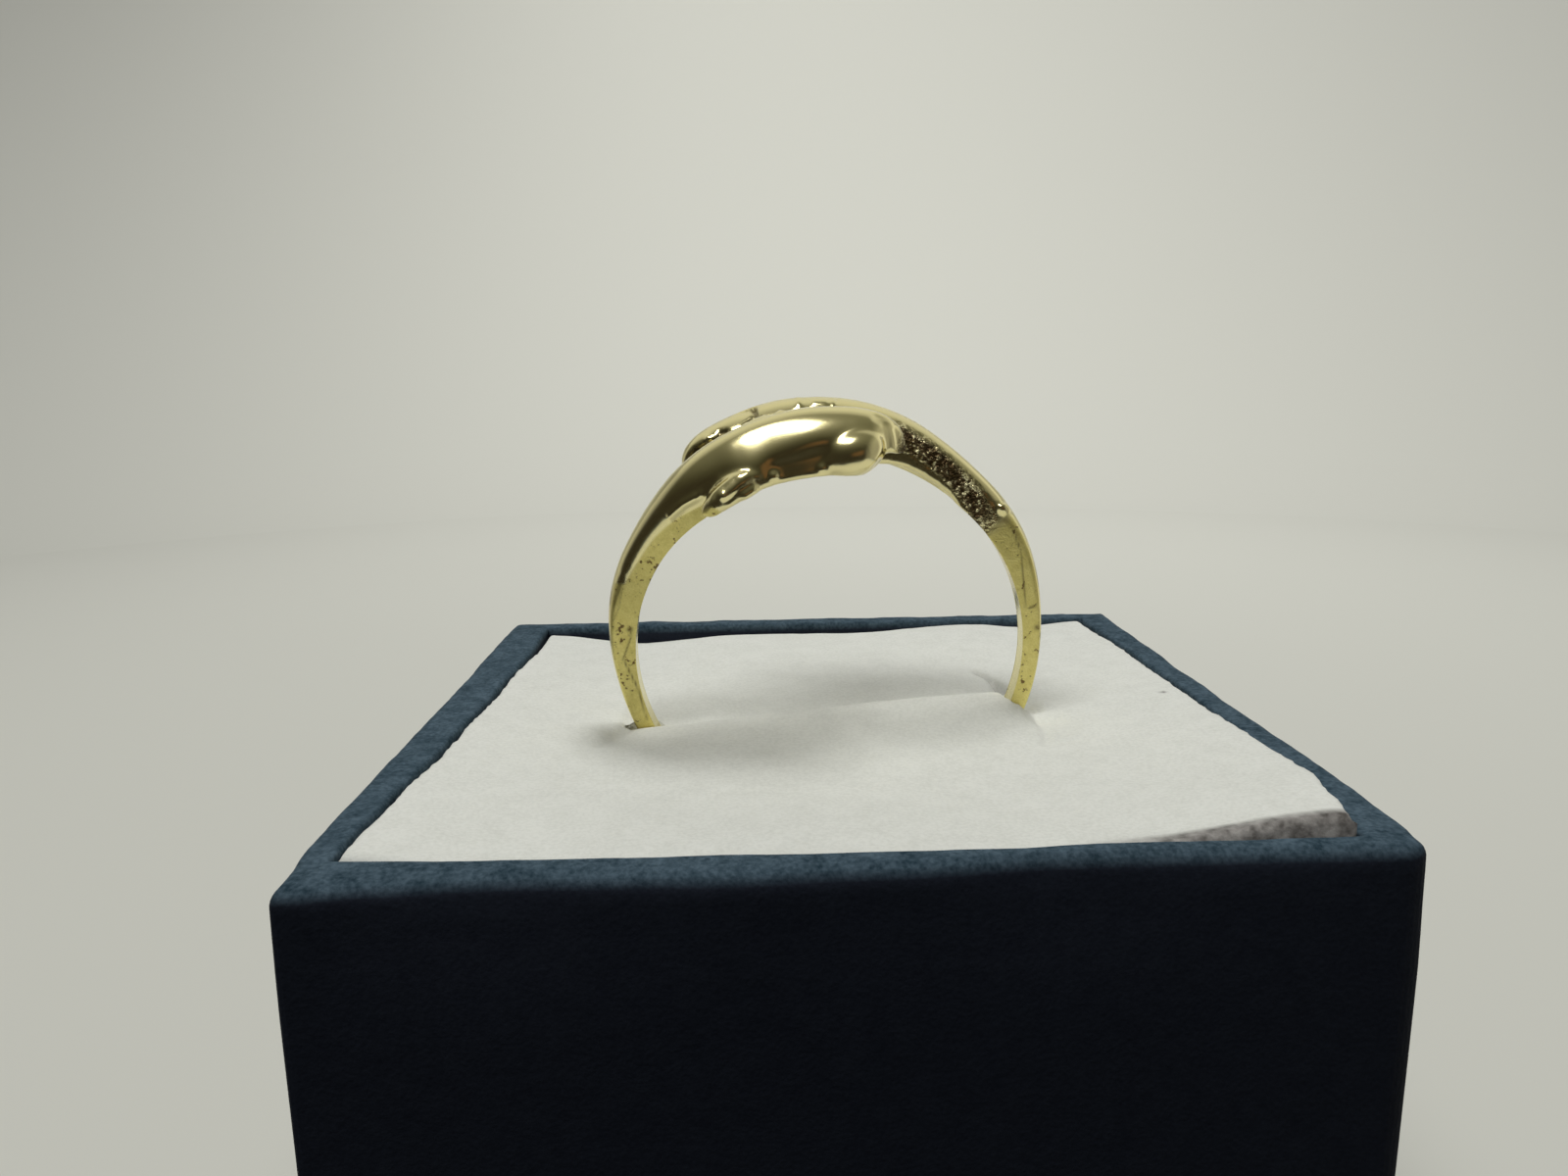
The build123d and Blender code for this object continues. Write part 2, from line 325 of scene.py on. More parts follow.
# %% The strokes
# name, side, path of angles and heights, half width, lift, all on one dolphin.
strokes = (
    ("edge of the melon", "back", ((18.0, 2.45), (19.5, 2.28), (20.6, 1.94), (21.3, 1.33),
                                   (21.1, 0.88), (20.0, 0.42)), 0.24, -0.08),
    ("mouth", "back", ((22.6, 2.05), (23.4, 1.75), (24.5, 1.30)), 0.13, -0.07),
    ("hollow behind the melon", "back", ((-5.5, 0.72), (1.0, 0.80), (6.0, 0.92)), 0.42, -0.10),
    ("front edge of the fin", "back", ((-24.6, 0.42), (-22.6, 0.80), (-19.4, 1.04),
                                       (-16.2, 1.04), (-13.0, 0.92)), 0.17, 0.07),
    ("upper fold of the fin", "back", ((-18.6, 0.62), (-15.0, 0.76)), 0.26, 0.08),
    ("crease of the fin", "back", ((-20.0, 0.34), (-15.8, 0.46), (-11.8, 0.48)), 0.15, -0.07),
    ("lower fold of the fin", "back", ((-15.8, 0.17), (-13.2, 0.22)), 0.22, 0.16),
    ("bead on the fin", "back", ((-20.6, 0.58), (-20.6, 0.585)), 0.16, 0.12),
    ("fold before the fin", "back", ((-35.5, 1.02), (-31.0, 1.04), (-27.5, 0.98)), 0.20, 0.14),
    ("bead before the fin", "back", ((-25.5, 0.94), (-25.5, 0.945)), 0.20, 0.10),
    ("bead on the flank", "back", ((-7.0, 0.44), (-7.0, 0.445)), 0.18, 0.14),
    ("bead under the melon", "back", ((5.4, 0.36), (5.4, 0.365)), 0.13, 0.10),
    ("ring round the eye", "top", ((9.3, 2.62), (9.3, 2.625)), 0.42, -0.08),
    ("slash behind the eye", "top", ((7.2, 2.20), (7.9, 2.75)), 0.12, -0.14),
    ("bead at the flipper", "top", ((-2.2, 2.50), (-2.2, 2.505)), 0.20, 0.14),
    ("flipper's long edge", "top", ((-5.6, 2.45), (-8.0, 2.42)), 0.17, 0.14),
    ("flipper's end", "top", ((-9.8, 2.40), (-9.8, 2.405)), 0.15, 0.12),
    ("cheek line", "belly", ((25.4, 2.02), (23.4, 2.20), (20.6, 2.16)), 0.09, -0.11),
    ("cheek bead", "belly", ((19.4, 2.30), (19.4, 2.305)), 0.15, 0.10),
    ("groove of the cheek", "belly", ((17.6, 2.14), (16.4, 2.34), (15.0, 2.28)), 0.09, -0.11),
    ("slash of the cheek", "belly", ((10.4, 2.26), (8.4, 2.42)), 0.09, -0.13),
    ("lips", "belly", ((26.6, 1.60), (24.4, 1.85), (21.6, 2.05), (19.0, 2.10)), 0.14, -0.14),
    ("pit of the lips", "belly", ((22.4, 1.72), (22.4, 1.725)), 0.22, -0.12),
    ("bead of the fluke", "belly", ((-57.0, 1.02), (-57.0, 1.025)), 0.18, 0.12),
)
print(len(strokes), "strokes on each dolphin")


# %% How far a point is from a stroke
def on_plane(angle, height):
    turn, radius = np.radians(angle), BORE / MM + height
    return np.array((radius * np.sin(turn), radius * np.cos(turn))).T


def distance_to(path, spots):
    """Distance in millimetres from each spot of the plane to a path."""
    corners = [on_plane(*corner) for corner in path]
    nearest = np.full(len(spots), 1e9)
    for a, b in zip(corners, corners[1:]):
        share = np.clip((spots - a) @ (b - a) / max((b - a) @ (b - a), 1e-12), 0, 1)
        nearest = np.minimum(nearest, np.linalg.norm(spots - a - share[:, None] * (b - a), axis=1))
    return nearest


# %% See every point from one dolphin
def corner_data(mesh):
    places, normals = np.empty(len(mesh.vertices) * 3), np.empty(len(mesh.vertices) * 3)
    mesh.vertices.foreach_get("co", places)
    mesh.vertices.foreach_get("normal", normals)
    return places.reshape(-1, 3), normals.reshape(-1, 3)


def seen_from_dolphin(places, normals, half_turn):
    """Angle, height, place along the finger and facing of each point, for one of the dolphins."""
    flip = np.array((-1, -1, 1)) if half_turn else np.array((1, 1, 1))
    x, along, z = (places * flip).T / MM
    facing = normals[:, 1] * flip[1]
    return np.degrees(np.arctan2(x, z)), np.hypot(x, z) - BORE / MM, along, facing


def on_side(side, height, along, facing):
    """How much of a stroke each point takes, for a stroke on the back, the belly or the top."""
    if side == "back":
        return step_up(-facing, 0.10, 0.45) * (along < -0.4)
    if side == "belly":
        return step_up(facing, 0.10, 0.45) * (along < 0.6)
    return step_up(height, 1.5, 1.9) * (along > -1.35) * (along < 0.15)


# %% Where the finishes end
# angle from the top, then the height above the hole where the finish ends.
brushed_below = ((-62, 2.0), (-59, 0.98), (-51.7, 0.86), (-43.1, 0.84), (-35.2, 0.74),
                 (-28.8, 0.56), (-24.3, 0.50), (-22, -0.6))
cast_below = ((-60, 0.7), (-49.5, 1.28), (-42.4, 1.46), (-33, 1.80), (-28, 1.95), (-20, 2.3))
cast_above = ((-60, -0.3), (-47.2, 0.30), (-35.6, 0.74), (-29.5, 0.92), (-20, 1.0))


def edge_at(table, angle):
    places, heights = zip(*table)
    return np.interp(angle, places, heights)


def finishes(angle, height, facing):
    """How brushed and how rough as cast each point of one dolphin's arm is."""
    in_arm = (angle < -21) & (angle > -178.5)
    back_flat = step_up(edge_at(brushed_below, angle) - height, -0.08, 0.08)
    back_flat *= step_up(-facing, 0.35, 0.7)
    belly_flat = step_up(facing, 0.5, 0.8) * step_up(-angle, 57, 62)
    rough = step_up(edge_at(cast_below, angle) - height, -0.10, 0.25)
    rough *= step_up(height - edge_at(cast_above, angle), -0.10, 0.10)
    rough *= step_up(facing, 0.05, 0.35) * step_up(-angle, 23, 26) * (1 - step_up(-angle, 54, 61))
    return np.maximum(back_flat, belly_flat) * in_arm, rough * in_arm


# %% Chase both dolphins
GRIT = 0.07                 # millimetres that the rough metal rises and falls
COARSE_CELLS, FINE_CELLS = 4200, 9000       # of the grit, in a metre
places, normals = corner_data(ring.data)
lift = np.zeros(len(places))
dark = np.zeros(len(places))
brushed = np.zeros(len(places))
cast = np.zeros(len(places))
for half_turn in (False, True):
    angle, height, along, facing = seen_from_dolphin(places, normals, half_turn)
    spots = on_plane(angle, height)
    own = (angle < 27.5) | (angle > 150)    # this dolphin and its half of the band
    for name, side, path, radius, amount in strokes:
        near = np.exp(-(distance_to(path, spots) / radius)**2) * on_side(side, height, along, facing)
        lift += near * amount * own
        if amount < -0.1:
            dark = np.maximum(dark, near * own * (0.35 if side == "back" else 0.8))
    flat, rough = finishes(angle, height, facing)
    brushed, cast = np.maximum(brushed, flat), np.maximum(cast, rough)
grit = np.array([noise.noise(Vector(place * COARSE_CELLS))
                 + 0.6 * noise.noise(Vector(place * FINE_CELLS + 5)) for place in places])
lift += grit * cast * GRIT
places += normals * (lift * MM)[:, None]
ring.data.vertices.foreach_set("co", places.ravel())
bm = bmesh.new()
bm.from_mesh(ring.data)
smooth_wax(bm, 1)
for vert in bm.verts:
    radius = sqrt(vert.co.x**2 + vert.co.z**2)
    if radius < BORE:
        vert.co.x *= BORE / radius
        vert.co.z *= BORE / radius
bm.to_mesh(ring.data)
bm.free()
print("chased:", int((np.abs(lift) > 0.02).sum()), "points of", len(places))

# %% [markdown]
# Cracks and finishes don't change the form. They are painted on the points, as values from 0 to
# 1, and the gold reads them later. An image would do the same, but it would need the ring
# unwrapped, and the points are close enough together.

# %% Cracks and finishes as paint on the metal
# on the far dolphin or the near one, path of angles and heights, half width, darkness.
cracks = (
    (False, ((-71.4, 0.32), (-74.3, 0.23), (-80.9, 0.58), (-85.1, 0.33), (-89.7, 0.13),
             (-95.5, 0.10), (-101.0, 0.20)), 0.035, 0.75),
    (False, ((-71.7, 0.31), (-71.8, 0.312)), 0.11, 1.0),
    (True, ((-64.8, 1.00), (-69.1, 0.86), (-73.1, 0.65), (-80.1, 0.39), (-86.0, 0.22)), 0.035, 0.6),
    (True, ((-92.5, 0.66), (-92.6, 0.662)), 0.11, 0.8),
    (True, ((-86.3, 0.40), (-86.1, 0.68)), 0.06, 0.7),
    (False, ((-61.0, 1.05), (-65.5, 0.95), (-70.0, 1.10)), 0.03, 0.4),
)
for half_turn, path, radius, darkness in cracks:
    angle, height, along, facing = seen_from_dolphin(places, normals, half_turn)
    near = np.exp(-(distance_to(path, on_plane(angle, height)) / radius)**2)
    front = facing < -0.4 if not half_turn else facing > 0.4
    dark = np.maximum(dark, near * front * darkness)
# the cast paint also places the gold's very dark base, which is partly painted shade
for name, values in (("dark", dark), ("brushed", brushed), ("cast", cast)):
    paint = ring.data.attributes.new(name, "FLOAT", "POINT")
    paint.data.foreach_set("value", values)
ring.data.transform(ring_stand)
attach(ring, "root")
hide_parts("dolphin_ring")
print("dark on", int((dark > 0.5).sum()), "points, brushed on", int((brushed > 0.5).sum()),
      "and rough as cast on", int((cast > 0.5).sum()))

# %% [markdown]
# ## The foam
#
# The foam is one soft block. Its top is a fine grid, and every point of the grid is raised or
# pressed to where the foam lies: up in a lip in front of the slit, down behind it, and dented
# beside both feet of the ring. One row of its faces is the slit. It goes down under the band and is
# widest there. Nearer the surface its soft walls close on the band. The top could be sculpted by
# hand too, but heights worked out from tables are easy to set against a photograph and to change.

# %% How high the foam lies
foam_low, foam_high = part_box("foam_insert")
FOAM_TOP = -0.70            # below the rim, in millimetres
EDGE_ROUND = 0.25           # radius of the block's upper edges
SLIT_CUT = 10.06            # radius of the slit's round bottom
SLIT_END = 9.7              # half the slit's length
SLIT_SHUT, SLIT_ROOM = 0.04, 0.66   # half the slit's width at the surface, and more below it
FOOT_AT, FOOT_GAP = 8.92, 0.52      # where the band goes in, and how far it holds the slit open
LIP_REACH, DIP_REACH = 5.6, 6.6     # how far the lip and the dip behind it run from the slit
LEAN = sin(radians(RING_LEAN)) / cos(radians(RING_LEAN))
YAW = sin(radians(RING_YAW))
side_mm = ring_centre.x / MM
back_mm = ring_centre.y / MM
# x across the box, then the height over the rim of the slit's front and back edges.
front_rows = ((-11.2, -0.72), (-10.1, -0.86), (-9.4, -1.00), (-7.4, -0.88), (-5.1, -0.62),
              (-2.3, -0.35), (0.2, -0.10), (2.3, 0.05), (4.7, 0.24), (6.5, 0.35), (7.7, 0.41),
              (8.2, 0.28), (8.7, -0.05), (9.2, -0.50), (9.6, -0.72), (11.2, -0.70))
back_rows = ((-11.5, -0.70), (-9.6, -1.00), (-7.0, -1.12), (-2.0, -1.35), (3.0, -1.55),
             (7.0, -1.45), (8.8, -1.15), (9.8, -0.95), (11.5, -0.70))
# name, x across and y from front to back, half widths, turn in degrees, and rise.
dents = (
    ("dent at the left foot", -10.2, -1.6, 0.8, 1.9, 10, -0.26),
    ("dent at the right foot", 9.95, -1.0, 0.8, 1.3, -8, -0.28),
    ("fold behind the right foot", 8.62, 3.6, 0.34, 2.1, -10, -0.60),
    ("ridge before the right foot", 10.5, -4.1, 1.3, 0.30, 14, 0.12),
)
print("the foam lies from", min(row[1] for row in back_rows), "to",
      max(row[1] for row in front_rows), "mm over the rim beside the slit")

# %% Where the walls of the tray lie
# y from front to back, then the x of the foam's border, all in millimetres. The paper of the wall
# begins just beside it.
left_rows = ((-16.3, -17.58), (-14.8, -17.60), (-11.3, -17.40), (-4.9, -16.94), (4.0, -16.55),
             (11.0, -16.35), (16.3, -16.50))
right_rows = ((-16.3, 16.80), (-14.0, 17.08), (-11.2, 17.54), (-6.5, 17.42), (0.0, 17.26),
              (7.0, 17.02), (16.3, 16.60))
# y from front to back, then how far the left or right wall leans outwards.
left_lean = ((-17.9, 0.30), (-15.0, 0.43), (-11.5, 0.40), (-5.0, 0.36), (3.8, 0.28), (17.9, 0.34))
right_lean = ((-17.9, 0.20), (-14.0, 0.38), (-11.0, 0.28), (-6.5, 0.24), (0.0, 0.14), (6.0, 0.0))
# x across the box, then the y of the front wall's inner or outer edge at the rim.
front_inner = ((-18.6, -16.22), (-12.3, -16.46), (-5.0, -16.48), (3.8, -16.44), (10.4, -16.20),
               (16.4, -16.12), (18.6, -16.05))
front_outer = ((-18.6, -18.52), (-15.5, -18.14), (-12.0, -17.90), (-5.0, -18.04), (0.4, -17.76),
               (6.8, -17.26), (13.3, -17.27), (18.6, -17.20))


# %% Soft steps, edges and bells
def smooth(t):
    t = min(max(t, 0.0), 1.0)
    return t * t * (3 - 2 * t)


def along_rows(rows, x):
    """Value at x from rows of place and value, with soft joins."""
    for (x0, v0), (x1, v1) in zip(rows, rows[1:]):
        if x <= x1:
            return v0 + (v1 - v0) * smooth((x - x0) / (x1 - x0))
    return rows[-1][1]


def rolled(distance, radius):
    """How far an edge of this radius has turned down, at a distance from the wall."""
    return radius - sqrt(max(radius**2 - max(radius - distance, 0.0)**2, 0.0))


def hump(x, y, cx, cy, rx, ry, turn):
    """Soft bell of height one round a centre, with half widths rx and ry, turned by degrees."""
    c, s = cos(radians(turn)), sin(radians(turn))
    u, v = ((x - cx) * c + (y - cy) * s) / rx, ((y - cy) * c - (x - cx) * s) / ry
    return 1 / (1 + u * u + v * v)**2


# %% The shape of the foam's top
def slit_line(x, height):
    """How far back the slit lies, at a place across the box and a height over the rim."""
    return back_mm + (ring_centre.z - rim_height) / MM * LEAN - height * LEAN + (x - side_mm) * YAW


def rest_height(x, y):
    """Height of the foam over the rim, as it lies in the box without the ring."""
    left, right, front, back = -x, x, -y, y
    # Both sides rise to the walls, and the front rises most at its right end.
    height = FOAM_TOP + 0.64 * smooth((left - 10.5) / 6.3) + 0.66 * smooth((right - 10) / 6.8)
    height += 0.35 * smooth((front - 8) / 7) * (1 - smooth(abs(x) / 15))
    height += 0.62 * smooth((right - 5) / 9) * smooth((front - 7) / 7)
    height += 0.22 * smooth((right - 12) / 5) * (1 - smooth(abs(front - 7) / 7))
    # The back is low at the left, high right of the middle, and low again at the right wall.
    height += smooth((back - 8) / 8) * (0.12 - 0.50 * smooth((left - 4) / 8)
                                        + 0.38 * smooth((right - 2) / 8)
                                        - 0.62 * smooth((right - 10) / 4))
    # The whole top is a little uneven, in broad and in fine waves.
    height += 0.08 * noise.noise(Vector((x * 0.22, y * 0.22, 3.1)))
    return height + 0.022 * noise.noise(Vector((x * 1.1, y * 1.1, 7.7)))


def foam_height(x, y):
    """Height of the foam over the rim, with the lip, the dip and the dents, without the slit."""
    before = slit_line(x, FOAM_TOP) - y
    inside = 1 - smooth((abs(x - side_mm) - SLIT_END) / 0.7)
    height = rest_height(x, y)
    if before > 0:
        # The lip: its left part is round, and its right part stands up sharply.
        round_over = (1 - smooth((x + 2) / 7)) * inside
        rise = (along_rows(front_rows, x + 0.14 * min(before, 4.0)) - FOAM_TOP) * inside
        height += (rise + 0.16 * round_over) * max(1 - before / LIP_REACH, 0.0)**1.7
        height -= 0.10 * max(1 - before / 0.35, 0.0)**2 * inside
        height -= 0.30 * max(1 - before / 1.5, 0.0)**2 * round_over
    else:
        rise = (along_rows(back_rows, x) - FOAM_TOP) * inside
        height += rise * max(1 + before / DIP_REACH, 0.0)**1.9
    for name, cx, cy, rx, ry, turn, rise in dents:
        height += rise * hump(x, y, cx, cy, rx, ry, turn)
    return height


# %% Creases in the foam
# path in millimetres, half width, depth, and how dark the painted shade in the crease is.
creases = (
    (((8.35, 7.10), (8.88, 5.77), (9.21, 3.96)), 0.20, 0.42, 0.55),
    (((9.42, -0.55), (9.40, -2.6), (8.94, -4.67)), 0.22, 0.14, 0.06),
    (((8.94, -4.67), (11.50, -3.79)), 0.20, 0.12, 0.0),
    (((-9.9, -1.0), (-10.6, -3.4)), 0.30, 0.14, 0.06),
    (((-15.6, -14.6), (-8.0, -15.2), (1.0, -15.1)), 0.30, 0.07, 0.0),
)


def crease_at(x, y):
    """Depth of the creases, and the darkness of their painted shade, at a place on the foam."""
    depth = shade = 0.0
    for path, radius, deep, darkness in creases:
        for (ax, ay), (bx, by) in zip(path, path[1:]):
            dx, dy = bx - ax, by - ay
            share = min(max(((x - ax) * dx + (y - ay) * dy) / (dx * dx + dy * dy), 0.0), 1.0)
            gap = ((x - ax - share * dx)**2 + (y - ay - share * dy)**2) / radius**2
            if gap < 9:
                depth, shade = max(depth, deep * 2**-gap), max(shade, darkness * 2**-gap)
    return depth, shade


# %% [markdown]
# The foam's height is now known at any place. A flat grid is laid over the block, its rows close
# together near the slit, and every point of it is moved to its place.

# %% Lay the grid and press it
def slit_gap(x):
    """Half the width of the slit at the surface: wide round each foot of the ring."""
    away = abs(abs(x - side_mm) - FOOT_AT)
    return SLIT_SHUT + FOOT_GAP * (1 - smooth((away - 0.60) / 0.35))


def row_spread(share):
    """Where a row lies between the slit and the edge: the rows are closer near the slit."""
    return 0.45 * share + 0.55 * share**2.2


ACROSS, BEHIND, BEFORE = 210, 84, 92    # faces across, and rows behind and before the slit
ROWS = BEHIND + BEFORE + 1
half_x = (foam_high.x - foam_low.x) / 2 / MM
half_y = (foam_high.y - foam_low.y) / 2 / MM
bm = bmesh.new()
bmesh.ops.create_grid(bm, x_segments=ACROSS, y_segments=ROWS, size=1.0)
slit_row = (BEFORE + 0.5) / ROWS * 2 - 1
slit_faces = [face for face in bm.faces
              if abs(face.calc_center_median().y - slit_row) < 0.5 / ROWS]
for vert in bm.verts:
    x = vert.co.x * half_x
    step = round((vert.co.y + 1) / 2 * ROWS) - BEFORE
    side = 1 if step >= 1 else -1
    share = (step - 1) / BEHIND if side > 0 else -step / BEFORE
    middle, start = slit_line(x, FOAM_TOP), slit_gap(x)
    y = middle + side * (start + (half_y - side * middle - start) * row_spread(share))
    height = foam_height(x, y) - crease_at(x, y)[0]
    y += (FOAM_TOP - height) * LEAN * (1 - smooth(abs(y - middle) / 3))
    height -= rolled(min(half_x - abs(x), half_y - abs(y)), EDGE_ROUND)
    # The border follows the walls of the tray, and its fibres stop a little before them.
    left, right = along_rows(left_rows, y), along_rows(right_rows, y)
    fray = 0.02 + 0.22 * abs(noise.noise(Vector((x * 0.9, y * 0.9, 1.3))))
    fray += 0.07 * abs(noise.noise(Vector((x * 3.1, y * 3.1, 6.3))))
    pulled_in = fray * smooth(abs(x) - half_x + 1)
    pulled_in *= 1 if x > 0 else -1
    x += (right - half_x) * smooth(x / half_x) + (left + half_x) * smooth(-x / half_x) - pulled_in
    y += (along_rows(front_inner, x) + 0.06 + half_y) * (1 - smooth((y + half_y) / 3))
    y += 0.3 * fray * smooth(1 - y - half_y)
    vert.co = (x * MM, y * MM, rim_height + height * MM)
print("foam top:", len(bm.faces), "faces")

# %% [markdown]
# The grid's border is drawn down, inside the walls of the box, and closed. Then the slit is
# opened: its row of faces is drawn down to the round bottom that the band needs.

# %% Close the block and open the slit
SKIRT = 1.3                 # the border's first step down; the second goes to the bottom
for to_bottom in (False, True):
    border = [edge for edge in bm.edges if edge.is_boundary]
    skirt = bmesh.ops.extrude_edge_only(bm, edges=border)
    for vert in (v for v in skirt["geom"] if isinstance(v, bmesh.types.BMVert)):
        vert.co.x = min(max(vert.co.x, foam_low.x), foam_high.x)
        vert.co.y = min(max(vert.co.y, foam_low.y), foam_high.y)
        vert.co.z = foam_low.z if to_bottom else vert.co.z - SKIRT * MM
bmesh.ops.holes_fill(bm, edges=bm.edges, sides=0)
slit_faces = [face for face in slit_faces
              if abs(face.calc_center_median().x / MM - side_mm) < SLIT_END]
print("slit faces:", len(slit_faces))
slit = bmesh.ops.extrude_face_region(bm, geom=slit_faces)
bmesh.ops.delete(bm, geom=slit_faces, context="FACES")
for vert in (v for v in slit["geom"] if isinstance(v, bmesh.types.BMVert)):
    x = vert.co.x / MM
    top = (vert.co.z - rim_height) / MM
    bottom = (ring_centre.z - rim_height) / MM - sqrt(max(SLIT_CUT**2 - (x - side_mm)**2, 0))
    bottom = min(bottom, top - 0.02)
    side = 1 if vert.co.y / MM > slit_line(x, top) else -1
    width = max(slit_gap(x), SLIT_SHUT + SLIT_ROOM * min((top - bottom) / 1.5, 1.0))
    vert.co.y = (slit_line(x, bottom) + side * width) * MM
    vert.co.z = rim_height + bottom * MM
bmesh.ops.recalc_face_normals(bm, faces=bm.faces)

# %% Stain the foam and paint shade on it
# The right half of the front edge is darkened with painted shade, where the foam's front side
# stands in shadow above the wall. A real speck of dirt lies at the right wall, and the creases
# get painted shade. The slit's walls and the block's sides far below stay clean.
EDGE_SHADE_FROM, EDGE_SHADE_BAND = 6.5, 1.05  # where the painted shade starts across, and its breadth
SPECK_X, SPECK_Y = 16.1, 0.5
DEEP = 20                   # height in the box under which the foam stays clean
dirt_and_shade = []
for vert in bm.verts:
    x, y, z = vert.co / MM
    # painted shade along the right half of the front edge, where the foam's side is in shadow
    edge_shade = smooth((x - EDGE_SHADE_FROM) / 5) * smooth((-y - half_y + EDGE_SHADE_BAND) / 0.45)
    speck = np.exp(-((x - SPECK_X)**2 + (y - SPECK_Y)**2) / 0.02)
    # painted shade of the edge and the creases, with the real speck of dirt
    shade = 0.98 * edge_shade + 0.9 * speck + crease_at(x, y)[1]
    dirt_and_shade.append(min(shade, 1.0) if z > DEEP else 0.0)
print("stained:", sum(shade > 0.5 for shade in dirt_and_shade), "points of", len(dirt_and_shade))
for face in bm.faces:
    face.smooth = True
foam = new_object("foam", mesh_from(bm, "foam"))
paint = foam.data.attributes.new("dirt_and_shade", "FLOAT", "POINT")
paint.data.foreach_set("value", dirt_and_shade)
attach(foam, "root")
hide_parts("foam_insert")

# %% [markdown]
# ## The tray
#
# A card box covered with blue-black paper. It starts as a plain block with rounded upright edges.
# The block is cut into fine strips, and the faces inside the walls are sunk to the floor. Then the
# rim's edges are rolled down, and the paper lies a little uneven, as pasted paper does.

# %% Cut the tray from a block
tray_low, tray_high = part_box("box_tray")
WALL, FLOOR = 1.5, 1.6
FRONT_RIGHT_CORNER, OTHER_CORNERS = 0.90, 0.30      # radii
STRIPS = 118                # across the whole box, each way
size = tray_high - tray_low
out_x, out_y = size.x / 2 / MM, size.y / 2 / MM
in_x, in_y = out_x - WALL, out_y - WALL
bm = bmesh.new()
bmesh.ops.create_cube(bm, size=1.0)
bmesh.ops.transform(bm, verts=bm.verts, matrix=Matrix.Translation((tray_low + tray_high) / 2)
                    @ Matrix.Diagonal((*size, 1)))
for front_right, radius, steps in ((True, FRONT_RIGHT_CORNER, 6), (False, OTHER_CORNERS, 3)):
    upright = [edge for edge in bm.edges
               if abs(edge.verts[0].co.z - edge.verts[1].co.z) > 0.02
               and all(abs(v.co.x) > tray_high.x - 1e-6 and abs(v.co.y) > tray_high.y - 1e-6
                       for v in edge.verts)
               and (edge.verts[0].co.x > 0 > edge.verts[0].co.y) == front_right]
    bmesh.ops.bevel(bm, geom=upright, offset=radius * MM, offset_type="OFFSET", segments=steps,
                    profile=0.5, affect="EDGES")


def cut(places, axis):
    """Cut the whole block at places along an axis, in millimetres."""
    for at in places:
        bmesh.ops.bisect_plane(bm, geom=bm.verts[:] + bm.edges[:] + bm.faces[:], dist=1e-7,
                               plane_co=axis * at * MM, plane_no=axis)


edge_rows = (0.03, 0.09, 0.18, 0.29, 0.42, 0.60, 0.84)      # from the outside inwards
level_rows = (1.0, 1.5, 2.2, 3.2, 4.5, 6.0, 9.0, 13.0, 18.0, 23.0)  # from the rim down
for reach, inner, axis in ((out_x, in_x, Vector((1, 0, 0))), (out_y, in_y, Vector((0, 1, 0)))):
    strips = [reach * (2 * k / STRIPS - 1) for k in range(1, STRIPS)]
    rows = [reach - row for row in edge_rows] + [inner, inner + 0.05, inner + 0.15]
    cut(sorted(set(strips + rows + [-row for row in rows])), axis)
lid = [face for face in bm.faces if face.normal.z > 0.9
       and abs(face.calc_center_median().x) < in_x * MM
       and abs(face.calc_center_median().y) < in_y * MM]
sunk = bmesh.ops.extrude_face_region(bm, geom=lid)
bmesh.ops.delete(bm, geom=lid, context="FACES")
for vert in (v for v in sunk["geom"] if isinstance(v, bmesh.types.BMVert)):
    vert.co.z = FLOOR * MM
bmesh.ops.recalc_face_normals(bm, faces=bm.faces)
cut([rim_height / MM - drop for drop in level_rows], Vector((0, 0, 1)))
print("tray:", len(bm.faces), "faces")

